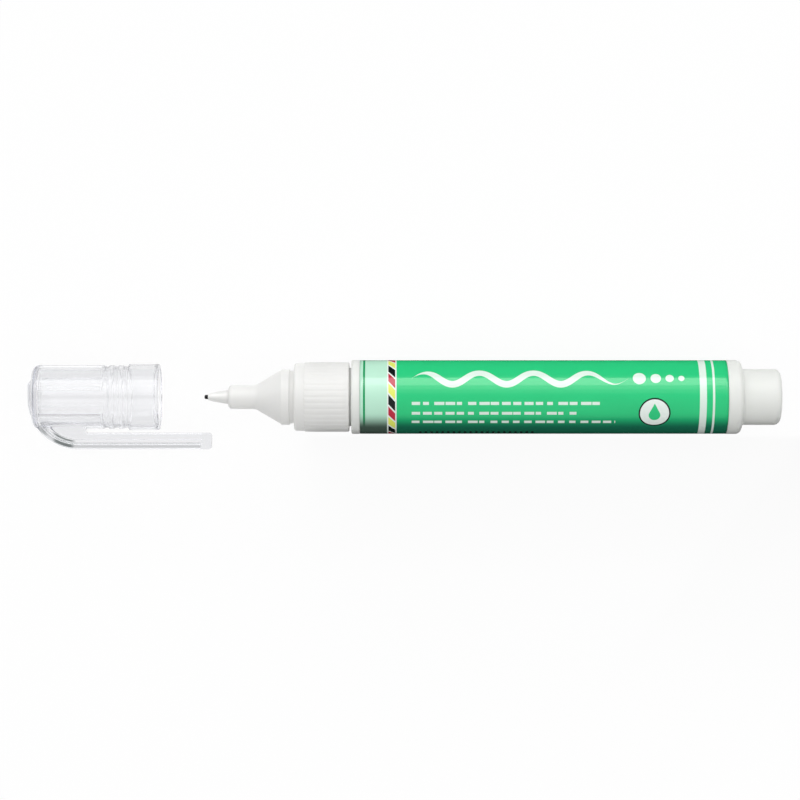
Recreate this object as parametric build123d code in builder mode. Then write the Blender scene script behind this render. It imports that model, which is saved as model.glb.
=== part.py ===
from build123d import *
import math
import os

# Correction pen: a soft squeeze barrel with a screw-free snap-on front section, a sprung needle valve
# in its metal point, a mixing ball inside and a clear clip cap, which lies taken off in front of the nose.
# The pen lies along X with its flat rear end at X = 0 and its point towards -X. The clip is on the -Y side
# and +Z is up. All lengths are millimetres. A station is a place along X.

# Shared fits
OVERRUN = 1.0               # how far a cut runs past the face that it opens
SEAT_CLEARANCE = 0.02       # between faces that bear on each other
PRESS_CLEARANCE = 0.01      # on the radius of a pressed fit
CAP_FIT_STEP = 2.1          # nose seat and rear post, which take the cap, lie this far under the barrel
CAP_CLEARANCE = 0.1         # on the radius, between the cap and what it is pushed on

# Barrel: blow-moulded bottle with a neck in front and a hollow post behind
BARREL_RADIUS = 8.6
BARREL_WALL = 1.1
LABEL_LENGTH = 85.3
LABEL_RECESS = 0.15         # depth of the bed that the label lies in
REAR_BAND = 3.5             # bare band between the label and the rear step
FRONT_BAND = 1.9            # bare band between the label and the front edge
REAR_EDGE_ROUND = 1.4
FRONT_EDGE_ROUND = 0.4
INNER_BEVEL = 0.5           # at the corners of the hollow
POST_LENGTH = 9.1
POST_WALL = 1.1
POST_END_WALL = 1.2
POST_EDGE_ROUND = 1.5
POST_FOOT_SHARE = 0.9       # cove at the post's foot, as a share of the step that the rear rounding leaves
SHOULDER_WIDTH = 1.8        # flat front shoulder between the barrel's side and the neck
NECK_LENGTH = 9.6
NECK_WALL = 1.1
NECK_RIM_BEVEL = 0.3
NECK_BEAD_HEIGHT = 0.25
NECK_BEAD_WIDTH = 1.6
NECK_BEAD_SETBACK = 3.0     # from the neck's rim to the middle of the bead
BEAD_CREST_SHARE = 0.3      # flat crest of the bead, as a share of its width

# Label: printed film wrapped once round the barrel
LABEL_THICKNESS = 0.12
LABEL_MARGIN = 0.1          # bare bed at each end of the label
LABEL_SEAM = 0.3            # where its two long edges meet underneath

# Front section: collar, cap seat, cone and tube in one moulding
SEAM_GAP = 0.5              # open joint between the barrel and the collar
GRIP_STEP = 0.5             # the fluted grip lies this far under the barrel's side
RING_STEP = 0.2             # the plain front ring lies this far under the grip
RING_LENGTH = 2.4
RING_ROUND = 0.6
GRIP_BEVEL = 0.25           # at the collar's rear edge
FLUTE_COUNT = 36
FLUTE_RADIUS = 1.2
FLUTE_DEPTH = 0.06
NECK_CLEARANCE = 0.05       # between the neck and the collar's socket
COLLAR_FRONT_WALL = 2.86    # from the bottom of the socket to the front face of the collar
SEAT_LENGTH = 3.0
SEAT_BEVEL = 0.2
SNAP_GROOVE_WIDTH = 1.0
SNAP_GROOVE_DEPTH = 0.35
CONE_STEP = 0.15            # the cone starts this far under the cap seat
CONE_LENGTH = 6.0
CONE_BLEND = 2.5
TUBE_RADIUS = 2.8
TUBE_LENGTH = 6.4
TUBE_WALL = 0.85
TUBE_ROUND = 0.9

# Gasket between the neck's rim and the bottom of the socket
GASKET_THICKNESS = 0.8
GASKET_INSET = 0.1          # it stays this far inside both edges of the rim

# Metal point pressed into the tube
TIP_GRIP = 4.0              # length held in the tube
TIP_LENGTH = 4.7            # length that stands out of the tube
TIP_SHANK_RADIUS = 1.5
TIP_WALL = 0.5
TIP_BASE_RADIUS = 1.68
TIP_NOSE_RADIUS = 1.0
TIP_NOSE_LENGTH = 1.15      # from the lip back to the end of the taper
TIP_NOSE_ROUND = 1.2
TIP_LIP_WALL = 0.12
TIP_THROAT_LENGTH = 2.3     # narrow bore between the lip and the valve seat
VALVE_SEAT_ANGLE = 45.0     # degrees from the axis, of the seat and of the needle's shoulder

# Needle that closes the point, and the plunger that carries it
NEEDLE_RADIUS = 0.5
NEEDLE_TRAVEL = 0.5
NEEDLE_STOP_PROUD = 0.35    # the writing end still stands this far out of the lip when it is pushed in
NEEDLE_ROUND = 0.35
NEEDLE_CLEARANCE = 0.08
NEEDLE_SHANK_RADIUS = 0.7
NEEDLE_GRIP = 3.0           # length held in the plunger
VALVE_GAP = 0.05            # film between the needle's shoulder and its seat
PLUNGER_FRONT_GAP = 0.8
PLUNGER_LENGTH = 4.6
PLUNGER_CLEARANCE = 0.1
PLUNGER_HUB_WALL = 0.45
PLUNGER_FIN_COUNT = 3
PLUNGER_FIN_WIDTH = 0.8
PLUNGER_FLANGE = 0.9        # thickness of the flange that the spring pushes on

# Valve spring and the holed plug behind it
SPRING_WIRE_RADIUS = 0.15
SPRING_MEAN_RADIUS = 1.5
SPRING_TURNS = 5
ARC_PAIR_COUNT = 2          # pairs of tangent arcs in one turn of the coil
GAP_POINTS_PER_TURN = 48
SPIGOT_CLEARANCE = 0.35     # between a spigot and the inside of the coil
SPIGOT_LENGTH = 1.2
RETAINER_THICKNESS = 1.6
RETAINER_SETBACK = 0.2      # below the bottom of the socket
RETAINER_INSET = 0.6        # smaller than the neck's bore
RETAINER_LEDGE = 0.55       # width of the ledge that stops it
RETAINER_BEVEL = 0.3
FLOW_HOLE_COUNT = 6
FLOW_HOLE_RADIUS = 0.9
FLOW_CIRCLE_SHARE = 0.58    # circle of the holes, as a share of the plug's radius

# Steel ball that stirs the fluid
BALL_RADIUS = 3.0
BALL_CLEARANCE = 0.15

# Cap: clear moulding with its clip, pulled off the nose
CAP_PULL = 31.2             # from seated to where it lies
CAP_STOP_GAP = 0.1          # left between its mouth and the collar when seated
CAP_LENGTH = 29.6
CAP_WALL = 1.0
CAP_END_WALL = 1.4
CAP_END_ROUND = 1.6
CAP_STEP = 0.25             # the closed part is this much smaller than the mouth part
CAP_MOUTH_BEVEL = 0.25
CAP_INNER_ROUND = 0.8
CAP_BEAD_HEIGHT = 0.1
CAP_BEAD_WIDTH = 0.8
CAP_BEAD_SETBACK = 0.3      # from the mouth
CAP_GROOVE_COUNT = 3
CAP_GROOVE_FIRST = 7.8      # from the mouth to the first groove round the outside
CAP_GROOVE_PITCH = 2.25
CAP_GROOVE_RADIUS = 0.8
CAP_GROOVE_DEPTH = 0.3
CAP_RIB_COUNT = 6
CAP_RIB_SETBACK = 13.5      # from the mouth to where the inner ribs start
CAP_RIB_WIDTH = 0.8
CAP_RIB_HEIGHT = 0.4
CAP_RIB_TURN = 12.5         # degrees from the clip to the nearest rib

# Clip: outer strip from the cap's end round to its side, an inner bar along it and a core between the two
CLIP_WIDTH = 5.5
CLIP_THICKNESS = 1.4        # of the outer strip
CLIP_CORNER_ROUND = 0.5
CLIP_CLEARANCE = 0.2        # between the clip's inside and the grip that it passes over
CLIP_DEPTH = 3.85           # from the inside of the bar to the outside of the strip
CLIP_OVERHANG = 12.0        # how far it reaches past the cap's mouth
CLIP_ROOT_RISE = 3.3        # middle line of its root, past the middle of the cap's end
CLIP_ROOT_PROUD = 1.0       # how far its root stands out of the cap's end
CLIP_TURN_SHARE = 1.1       # turn where the root meets the cap's end, as a share of the strip's thickness
CLIP_BEND_SHARE = 0.98      # bend from the end to the side, as a share of the clip's distance from the axis
CLIP_GROOVE_WIDTH = 0.8     # groove along each side, between the strip and the bar
CLIP_GROOVE_DEPTH = 1.0
CLIP_WEB_REACH = 1.4        # how far the web goes on past the bend, up to the open gap
CLIP_GAP_ROUND = 0.5
CLIP_BLOCK_LENGTH = 2.3     # rounded block at the free end
CLIP_BLOCK_ROUND = 0.7

# Radii that follow from the sizes above
LABEL_BED = BARREL_RADIUS - LABEL_RECESS
CHAMBER_RADIUS = LABEL_BED - BARREL_WALL
CAP_FIT_RADIUS = BARREL_RADIUS - CAP_FIT_STEP
POST_BORE = CAP_FIT_RADIUS - POST_WALL
POST_FOOT_ROUND = POST_FOOT_SHARE * (CAP_FIT_STEP - REAR_EDGE_ROUND)
NECK_RADIUS = BARREL_RADIUS - SHOULDER_WIDTH
NECK_BORE = NECK_RADIUS - NECK_WALL
NECK_BEAD = NECK_RADIUS + NECK_BEAD_HEIGHT
GRIP_RADIUS = BARREL_RADIUS - GRIP_STEP
RING_RADIUS = GRIP_RADIUS - RING_STEP
SOCKET_RADIUS = NECK_RADIUS + NECK_CLEARANCE
CONE_BASE = CAP_FIT_RADIUS - CONE_STEP
PLUNGER_BORE = TUBE_RADIUS - TUBE_WALL
RETAINER_RADIUS = NECK_BORE - RETAINER_INSET
CORE_RADIUS = RETAINER_RADIUS - RETAINER_LEDGE
TIP_CHANNEL = TIP_SHANK_RADIUS - TIP_WALL
TIP_THROAT = NEEDLE_RADIUS + NEEDLE_CLEARANCE
TIP_LIP = TIP_THROAT + TIP_LIP_WALL
PLUNGER_HUB = NEEDLE_SHANK_RADIUS + PLUNGER_HUB_WALL
PLUNGER_RADIUS = PLUNGER_BORE - PLUNGER_CLEARANCE
SPIGOT_RADIUS = SPRING_MEAN_RADIUS - SPRING_WIRE_RADIUS - SPIGOT_CLEARANCE
CAP_BEAD = CAP_FIT_RADIUS + CAP_CLEARANCE
CAP_BORE = CAP_BEAD + CAP_BEAD_HEIGHT
CAP_MOUTH_RADIUS = CAP_BORE + CAP_WALL
CAP_BODY_RADIUS = CAP_MOUTH_RADIUS - CAP_STEP
CAP_BODY_BORE = CAP_BODY_RADIUS - CAP_WALL
CLIP_INSIDE = GRIP_RADIUS + CLIP_CLEARANCE
CLIP_OUTSIDE = CLIP_INSIDE + CLIP_DEPTH
CLIP_ROOT_ROUND = CLIP_TURN_SHARE * CLIP_THICKNESS
CLIP_BEND = CLIP_BEND_SHARE * CLIP_OUTSIDE
CLIP_BAR = CLIP_DEPTH - CLIP_THICKNESS - CLIP_GROOVE_WIDTH
CLIP_CORE_WIDTH = CLIP_WIDTH - 2 * CLIP_GROOVE_DEPTH

# Stations that follow from the sizes above, from the rear end to the cap
POST_FRONT = -POST_LENGTH
LABEL_REAR = POST_FRONT - REAR_BAND
LABEL_FRONT = LABEL_REAR - LABEL_LENGTH
BARREL_FRONT = LABEL_FRONT - FRONT_BAND
NECK_FRONT = BARREL_FRONT - NECK_LENGTH
NECK_BEAD_MIDDLE = NECK_FRONT + NECK_BEAD_SETBACK
COLLAR_REAR = BARREL_FRONT - SEAM_GAP
SOCKET_END = NECK_FRONT - GASKET_THICKNESS - 2 * SEAT_CLEARANCE
COLLAR_FRONT = SOCKET_END - COLLAR_FRONT_WALL
GRIP_FRONT = COLLAR_FRONT + RING_LENGTH
SEAT_REAR = COLLAR_FRONT - SNAP_GROOVE_WIDTH
SEAT_FRONT = COLLAR_FRONT - SEAT_LENGTH
CONE_FRONT = SEAT_FRONT - CONE_LENGTH
TUBE_FRONT = CONE_FRONT - TUBE_LENGTH
TIP_FRONT = TUBE_FRONT - TIP_LENGTH
POINT = TIP_FRONT - NEEDLE_TRAVEL - NEEDLE_STOP_PROUD
TIP_REAR = TUBE_FRONT + TIP_GRIP
VALVE_SEAT = TIP_FRONT + TIP_THROAT_LENGTH
CONE_SLOPE = (CONE_BASE - TUBE_RADIUS) / CONE_LENGTH
CORE_FRONT = SEAT_FRONT - (CORE_RADIUS - PLUNGER_BORE) / CONE_SLOPE
PLUNGER_FRONT = TIP_REAR + PLUNGER_FRONT_GAP
PLUNGER_REAR = PLUNGER_FRONT + PLUNGER_LENGTH
NEEDLE_REAR = PLUNGER_FRONT + NEEDLE_GRIP
SEAT_SLOPE = math.tan(math.radians(VALVE_SEAT_ANGLE))
VALVE_LIFT = VALVE_GAP / math.cos(math.radians(VALVE_SEAT_ANGLE)) - NEEDLE_CLEARANCE
NEEDLE_SHOULDER = VALVE_SEAT + VALVE_LIFT / SEAT_SLOPE
RETAINER_REAR = SOCKET_END - RETAINER_SETBACK
RETAINER_FRONT = RETAINER_REAR - RETAINER_THICKNESS
SPRING_FRONT = PLUNGER_REAR + SEAT_CLEARANCE + SPRING_WIRE_RADIUS
SPRING_REAR = RETAINER_FRONT - SEAT_CLEARANCE - SPRING_WIRE_RADIUS
SPRING_PITCH = (SPRING_REAR - SPRING_FRONT) / SPRING_TURNS
CHAMBER_FRONT = BARREL_FRONT + BARREL_WALL
CHAMBER_REAR = POST_FRONT - BARREL_WALL
BALL_STATION = CHAMBER_FRONT + BALL_RADIUS + BALL_CLEARANCE
BALL_REACH = CHAMBER_REAR - BALL_RADIUS - BALL_CLEARANCE - BALL_STATION
CAP_MOUTH = COLLAR_FRONT - CAP_STOP_GAP - CAP_PULL
CAP_END = CAP_MOUTH - CAP_LENGTH
CAP_CAVITY_END = CAP_END + CAP_END_WALL
CAP_RIB_START = CAP_MOUTH - CAP_RIB_SETBACK
CLIP_ROOT = CAP_END - CLIP_ROOT_PROUD
CLIP_FREE_END = CAP_MOUTH + CLIP_OVERHANG
CLIP_ARM_END = CLIP_FREE_END - CLIP_BLOCK_LENGTH / 2
CLIP_GAP_END = CLIP_ROOT + CLIP_BEND + CLIP_WEB_REACH

os.makedirs("parts", exist_ok=True)


def half_section(*corners):
    """Closed half section over the pen's axis, from corners (station, radius, rounding) or
    (station, radius, 0, bevel)."""
    with BuildSketch(Plane.XY) as section:
        with BuildLine():
            Polyline([corner[:2] for corner in corners], close=True)
        make_face()
        for station, radius, rounding, *bevel in corners:
            corner = section.vertices().sort_by_distance((station, radius))[0]
            if rounding > 0:
                fillet(corner, radius=rounding)
            if bevel:
                chamfer(corner, length=bevel[0])
    return section.sketch


def bead_corners(foot, crest, margin):
    """Corners of the neck's snap bead from rear to front, grown by a margin for the groove that takes it."""
    half_foot = NECK_BEAD_WIDTH / 2 + margin
    half_crest = NECK_BEAD_WIDTH * BEAD_CREST_SHARE / 2 + margin
    return (
        (NECK_BEAD_MIDDLE + half_foot, foot, 0),
        (NECK_BEAD_MIDDLE + half_crest, crest, 0),
        (NECK_BEAD_MIDDLE - half_crest, crest, 0),
        (NECK_BEAD_MIDDLE - half_foot, foot, 0),
    )


# Barrel: outside turned with its post, label bed, shoulder and neck, then hollowed through the neck
with BuildPart() as barrel:
    outside = half_section(
        (0, 0, 0),
        (0, CAP_FIT_RADIUS, POST_EDGE_ROUND),
        (POST_FRONT, CAP_FIT_RADIUS, POST_FOOT_ROUND),
        (POST_FRONT, BARREL_RADIUS, REAR_EDGE_ROUND),
        (LABEL_REAR, BARREL_RADIUS, 0),
        (LABEL_REAR, LABEL_BED, 0),
        (LABEL_FRONT, LABEL_BED, 0),
        (LABEL_FRONT, BARREL_RADIUS, 0),
        (BARREL_FRONT, BARREL_RADIUS, FRONT_EDGE_ROUND),
        (BARREL_FRONT, NECK_RADIUS, 0),
        *bead_corners(NECK_RADIUS, NECK_BEAD, 0),
        (NECK_FRONT, NECK_RADIUS, 0, NECK_RIM_BEVEL),
        (NECK_FRONT, 0, 0),
    )
    revolve(outside, axis=Axis.X)
    chamber = half_section(
        (-POST_END_WALL, 0, 0),
        (-POST_END_WALL, POST_BORE, 0, INNER_BEVEL),
        (CHAMBER_REAR, POST_BORE, 0, INNER_BEVEL),
        (CHAMBER_REAR, CHAMBER_RADIUS, 0, INNER_BEVEL),
        (CHAMBER_FRONT, CHAMBER_RADIUS, 0, INNER_BEVEL),
        (CHAMBER_FRONT, NECK_BORE, 0, INNER_BEVEL),
        (NECK_FRONT - OVERRUN, NECK_BORE, 0),
        (NECK_FRONT - OVERRUN, 0, 0),
    )
    revolve(chamber, axis=Axis.X, mode=Mode.SUBTRACT)
barrel.part.label = "barrel"
export_step(barrel.part, "parts/barrel.step")

# Label: a thin sleeve in its bed, open along the seam underneath
with BuildPart() as label_sleeve:
    label_inside = LABEL_BED + PRESS_CLEARANCE
    label_outside = label_inside + LABEL_THICKNESS
    with BuildSketch(Plane.YZ.offset(LABEL_FRONT + LABEL_MARGIN)):
        Circle(label_outside)
        Circle(label_inside, mode=Mode.SUBTRACT)
        with Locations((0, -label_outside)):
            Rectangle(LABEL_SEAM, label_outside, mode=Mode.SUBTRACT)
    extrude(amount=LABEL_LENGTH - 2 * LABEL_MARGIN)
label_sleeve.part.label = "label_sleeve"
export_step(label_sleeve.part, "parts/label_sleeve.step")

# Front section: turned outside, fluted grip, socket for the neck and a stepped bore for the valve
with BuildPart() as front_section:
    outside = half_section(
        (COLLAR_REAR, 0, 0),
        (COLLAR_REAR, GRIP_RADIUS, 0, GRIP_BEVEL),
        (GRIP_FRONT, GRIP_RADIUS, 0, RING_STEP / 2),
        (GRIP_FRONT, RING_RADIUS, 0),
        (COLLAR_FRONT, RING_RADIUS, RING_ROUND),
        (COLLAR_FRONT, CAP_FIT_RADIUS - SNAP_GROOVE_DEPTH, 0),
        (SEAT_REAR, CAP_FIT_RADIUS - SNAP_GROOVE_DEPTH, 0),
        (SEAT_REAR, CAP_FIT_RADIUS, 0, SEAT_BEVEL),
        (SEAT_FRONT, CAP_FIT_RADIUS, 0),
        (SEAT_FRONT, CONE_BASE, 0),
        (CONE_FRONT, TUBE_RADIUS, CONE_BLEND),
        (TUBE_FRONT, TUBE_RADIUS, TUBE_ROUND),
        (TUBE_FRONT, 0, 0),
    )
    revolve(outside, axis=Axis.X)
    with BuildSketch(Plane.YZ.offset(GRIP_FRONT - OVERRUN)):
        with PolarLocations(GRIP_RADIUS + FLUTE_RADIUS - FLUTE_DEPTH, FLUTE_COUNT):
            Circle(FLUTE_RADIUS)
    extrude(amount=COLLAR_REAR - GRIP_FRONT + 2 * OVERRUN, mode=Mode.SUBTRACT)
    bore = half_section(
        (COLLAR_REAR + OVERRUN, 0, 0),
        (COLLAR_REAR + OVERRUN, SOCKET_RADIUS, 0),
        *bead_corners(SOCKET_RADIUS, NECK_BEAD + NECK_CLEARANCE, NECK_CLEARANCE),
        (SOCKET_END, SOCKET_RADIUS, 0),
        (SOCKET_END, RETAINER_RADIUS, 0),
        (RETAINER_FRONT - SEAT_CLEARANCE, RETAINER_RADIUS, 0),
        (RETAINER_FRONT - SEAT_CLEARANCE, CORE_RADIUS, 0),
        (SEAT_FRONT, CORE_RADIUS, 0),
        (CORE_FRONT, PLUNGER_BORE, 0),
        (TIP_REAR, PLUNGER_BORE, 0),
        (TIP_REAR, TIP_SHANK_RADIUS, 0),
        (TUBE_FRONT - OVERRUN, TIP_SHANK_RADIUS, 0),
        (TUBE_FRONT - OVERRUN, 0, 0),
    )
    revolve(bore, axis=Axis.X, mode=Mode.SUBTRACT)
front_section.part.label = "front_section"
export_step(front_section.part, "parts/front_section.step")

# Gasket: flat ring held between the neck's rim and the socket
with BuildPart() as neck_gasket:
    with BuildSketch(Plane.YZ.offset(SOCKET_END + SEAT_CLEARANCE)):
        Circle(NECK_RADIUS - GASKET_INSET)
        Circle(NECK_BORE + GASKET_INSET, mode=Mode.SUBTRACT)
    extrude(amount=GASKET_THICKNESS)
neck_gasket.part.label = "neck_gasket"
export_step(neck_gasket.part, "parts/neck_gasket.step")

# Metal point: pressed shank, tapered nose with a rounded lip, and the conical valve seat inside
with BuildPart() as point_tip:
    shank_radius = TIP_SHANK_RADIUS - PRESS_CLEARANCE
    tip_base = TUBE_FRONT - SEAT_CLEARANCE
    outside = half_section(
        (TIP_REAR, 0, 0),
        (TIP_REAR, shank_radius, 0),
        (tip_base, shank_radius, 0),
        (tip_base, TIP_BASE_RADIUS, 0),
        (TIP_FRONT + TIP_NOSE_LENGTH, TIP_NOSE_RADIUS, TIP_NOSE_ROUND),
        (TIP_FRONT, TIP_LIP, 0),
        (TIP_FRONT, 0, 0),
    )
    revolve(outside, axis=Axis.X)
    channel = half_section(
        (TIP_REAR + OVERRUN, 0, 0),
        (TIP_REAR + OVERRUN, TIP_CHANNEL, 0),
        (VALVE_SEAT + (TIP_CHANNEL - TIP_THROAT) / SEAT_SLOPE, TIP_CHANNEL, 0),
        (VALVE_SEAT, TIP_THROAT, 0),
        (TIP_FRONT - OVERRUN, TIP_THROAT, 0),
        (TIP_FRONT - OVERRUN, 0, 0),
    )
    revolve(channel, axis=Axis.X, mode=Mode.SUBTRACT)
point_tip.part.label = "point_tip"
export_step(point_tip.part, "parts/point_tip.step")

# Needle: rounded writing end, sealing shoulder and a thicker shank
with BuildPart() as valve_needle:
    shoulder_length = (NEEDLE_SHANK_RADIUS - NEEDLE_RADIUS) / SEAT_SLOPE
    outline = half_section(
        (POINT, 0, 0),
        (POINT, NEEDLE_RADIUS, NEEDLE_ROUND),
        (NEEDLE_SHOULDER, NEEDLE_RADIUS, 0),
        (NEEDLE_SHOULDER + shoulder_length, NEEDLE_SHANK_RADIUS, 0),
        (NEEDLE_REAR, NEEDLE_SHANK_RADIUS, 0),
        (NEEDLE_REAR, 0, 0),
    )
    revolve(outline, axis=Axis.X)
valve_needle.part.label = "valve_needle"
export_step(valve_needle.part, "parts/valve_needle.step")

# Plunger: hub on the needle, guide fins with the fluid's way between them, flange and spring spigot
with BuildPart() as needle_plunger:
    flange_front = PLUNGER_REAR - PLUNGER_FLANGE
    hub = half_section(
        (PLUNGER_FRONT, 0, 0),
        (PLUNGER_FRONT, PLUNGER_HUB, 0),
        (flange_front, PLUNGER_HUB, 0),
        (flange_front, PLUNGER_RADIUS, 0),
        (PLUNGER_REAR, PLUNGER_RADIUS, 0),
        (PLUNGER_REAR, SPIGOT_RADIUS, 0),
        (PLUNGER_REAR + SPIGOT_LENGTH, SPIGOT_RADIUS, 0),
        (PLUNGER_REAR + SPIGOT_LENGTH, 0, 0),
    )
    revolve(hub, axis=Axis.X)
    with BuildSketch(Plane.YZ.offset(PLUNGER_FRONT)):
        with PolarLocations(PLUNGER_RADIUS / 2, PLUNGER_FIN_COUNT):
            Rectangle(PLUNGER_RADIUS, PLUNGER_FIN_WIDTH)
        Circle(PLUNGER_RADIUS, mode=Mode.INTERSECT)
    extrude(amount=flange_front - PLUNGER_FRONT)
    with BuildSketch(Plane.YZ.offset(PLUNGER_FRONT)):
        Circle(NEEDLE_SHANK_RADIUS + PRESS_CLEARANCE)
    extrude(amount=NEEDLE_GRIP + SEAT_CLEARANCE, mode=Mode.SUBTRACT)
needle_plunger.part.label = "needle_plunger"
export_step(needle_plunger.part, "parts/needle_plunger.step")


def coil_point(turns):
    """Point of the spring's centre line after so many turns from its front end."""
    angle = 2 * math.pi * turns
    side = SPRING_MEAN_RADIUS * math.cos(angle)
    return Vector(SPRING_FRONT + SPRING_PITCH * turns, side, SPRING_MEAN_RADIUS * math.sin(angle))


def coil_heading(turns):
    """Unit direction of the spring's centre line after so many turns."""
    angle = 2 * math.pi * turns
    rise = SPRING_PITCH / (2 * math.pi)
    side = -SPRING_MEAN_RADIUS * math.sin(angle)
    return Vector(rise, side, SPRING_MEAN_RADIUS * math.cos(angle)).normalized()


def arc_meeting(start, start_heading, end, end_heading):
    """Where two tangent arcs with equal tangent lengths meet between two points, and their heading there."""
    chord = end - start
    headings = start_heading + end_heading
    along = chord.dot(headings)
    spread = 2 * (1 - start_heading.dot(end_heading))
    reach = (math.sqrt(along**2 + spread * chord.dot(chord)) - along) / spread
    first = start + start_heading * reach
    second = end - end_heading * reach
    return (first + second) * 0.5, (second - first).normalized()


def coil_gap():
    """Least clear gap between one turn of the spring and the next, on points of its centre line."""
    count = SPRING_TURNS * GAP_POINTS_PER_TURN
    points = [coil_point(step / GAP_POINTS_PER_TURN) for step in range(count + 1)]
    half_turn = GAP_POINTS_PER_TURN // 2
    apart = min(
        (points[late] - points[early]).length
        for early in range(count)
        for late in range(early + half_turn, min(early + 2 * GAP_POINTS_PER_TURN, count + 1))
    )
    return apart - 2 * SPRING_WIRE_RADIUS


# Valve spring: one wire swept along pairs of tangent arcs, each pair a half turn
with BuildPart() as valve_spring:
    with BuildLine() as coil:
        for pair in range(SPRING_TURNS * ARC_PAIR_COUNT):
            here = pair / ARC_PAIR_COUNT
            there = (pair + 1) / ARC_PAIR_COUNT
            meeting, heading = arc_meeting(
                coil_point(here), coil_heading(here), coil_point(there), coil_heading(there)
            )
            TangentArc(coil_point(here), meeting, tangent=coil_heading(here))
            TangentArc(meeting, coil_point(there), tangent=heading)
    with BuildSketch(Plane(origin=coil_point(0), z_dir=coil_heading(0))):
        Circle(SPRING_WIRE_RADIUS)
    sweep(path=coil.wires()[0])
valve_spring.part.label = "valve_spring"
export_step(valve_spring.part, "parts/valve_spring.step")
print(f"spring: least gap between turns {coil_gap():.3f} mm")

# Spring retainer: plug with a ring of flow holes and a spigot for the spring
with BuildPart() as spring_retainer:
    plug = half_section(
        (RETAINER_REAR, 0, 0),
        (RETAINER_REAR, RETAINER_RADIUS - PRESS_CLEARANCE, 0, RETAINER_BEVEL),
        (RETAINER_FRONT, RETAINER_RADIUS - PRESS_CLEARANCE, 0),
        (RETAINER_FRONT, SPIGOT_RADIUS, 0),
        (RETAINER_FRONT - SPIGOT_LENGTH, SPIGOT_RADIUS, 0),
        (RETAINER_FRONT - SPIGOT_LENGTH, 0, 0),
    )
    revolve(plug, axis=Axis.X)
    with BuildSketch(Plane.YZ.offset(RETAINER_FRONT - OVERRUN)):
        with PolarLocations(RETAINER_RADIUS * FLOW_CIRCLE_SHARE, FLOW_HOLE_COUNT):
            Circle(FLOW_HOLE_RADIUS)
    extrude(amount=RETAINER_THICKNESS + 2 * OVERRUN, mode=Mode.SUBTRACT)
spring_retainer.part.label = "spring_retainer"
export_step(spring_retainer.part, "parts/spring_retainer.step")

# Mixing ball: lies on the chamber's floor against its front shoulder
with BuildPart() as mixing_ball:
    with Locations((BALL_STATION, 0, BALL_RADIUS + BALL_CLEARANCE - CHAMBER_RADIUS)):
        Sphere(BALL_RADIUS)
mixing_ball.part.label = "mixing_ball"
export_step(mixing_ball.part, "parts/mixing_ball.step")

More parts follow.
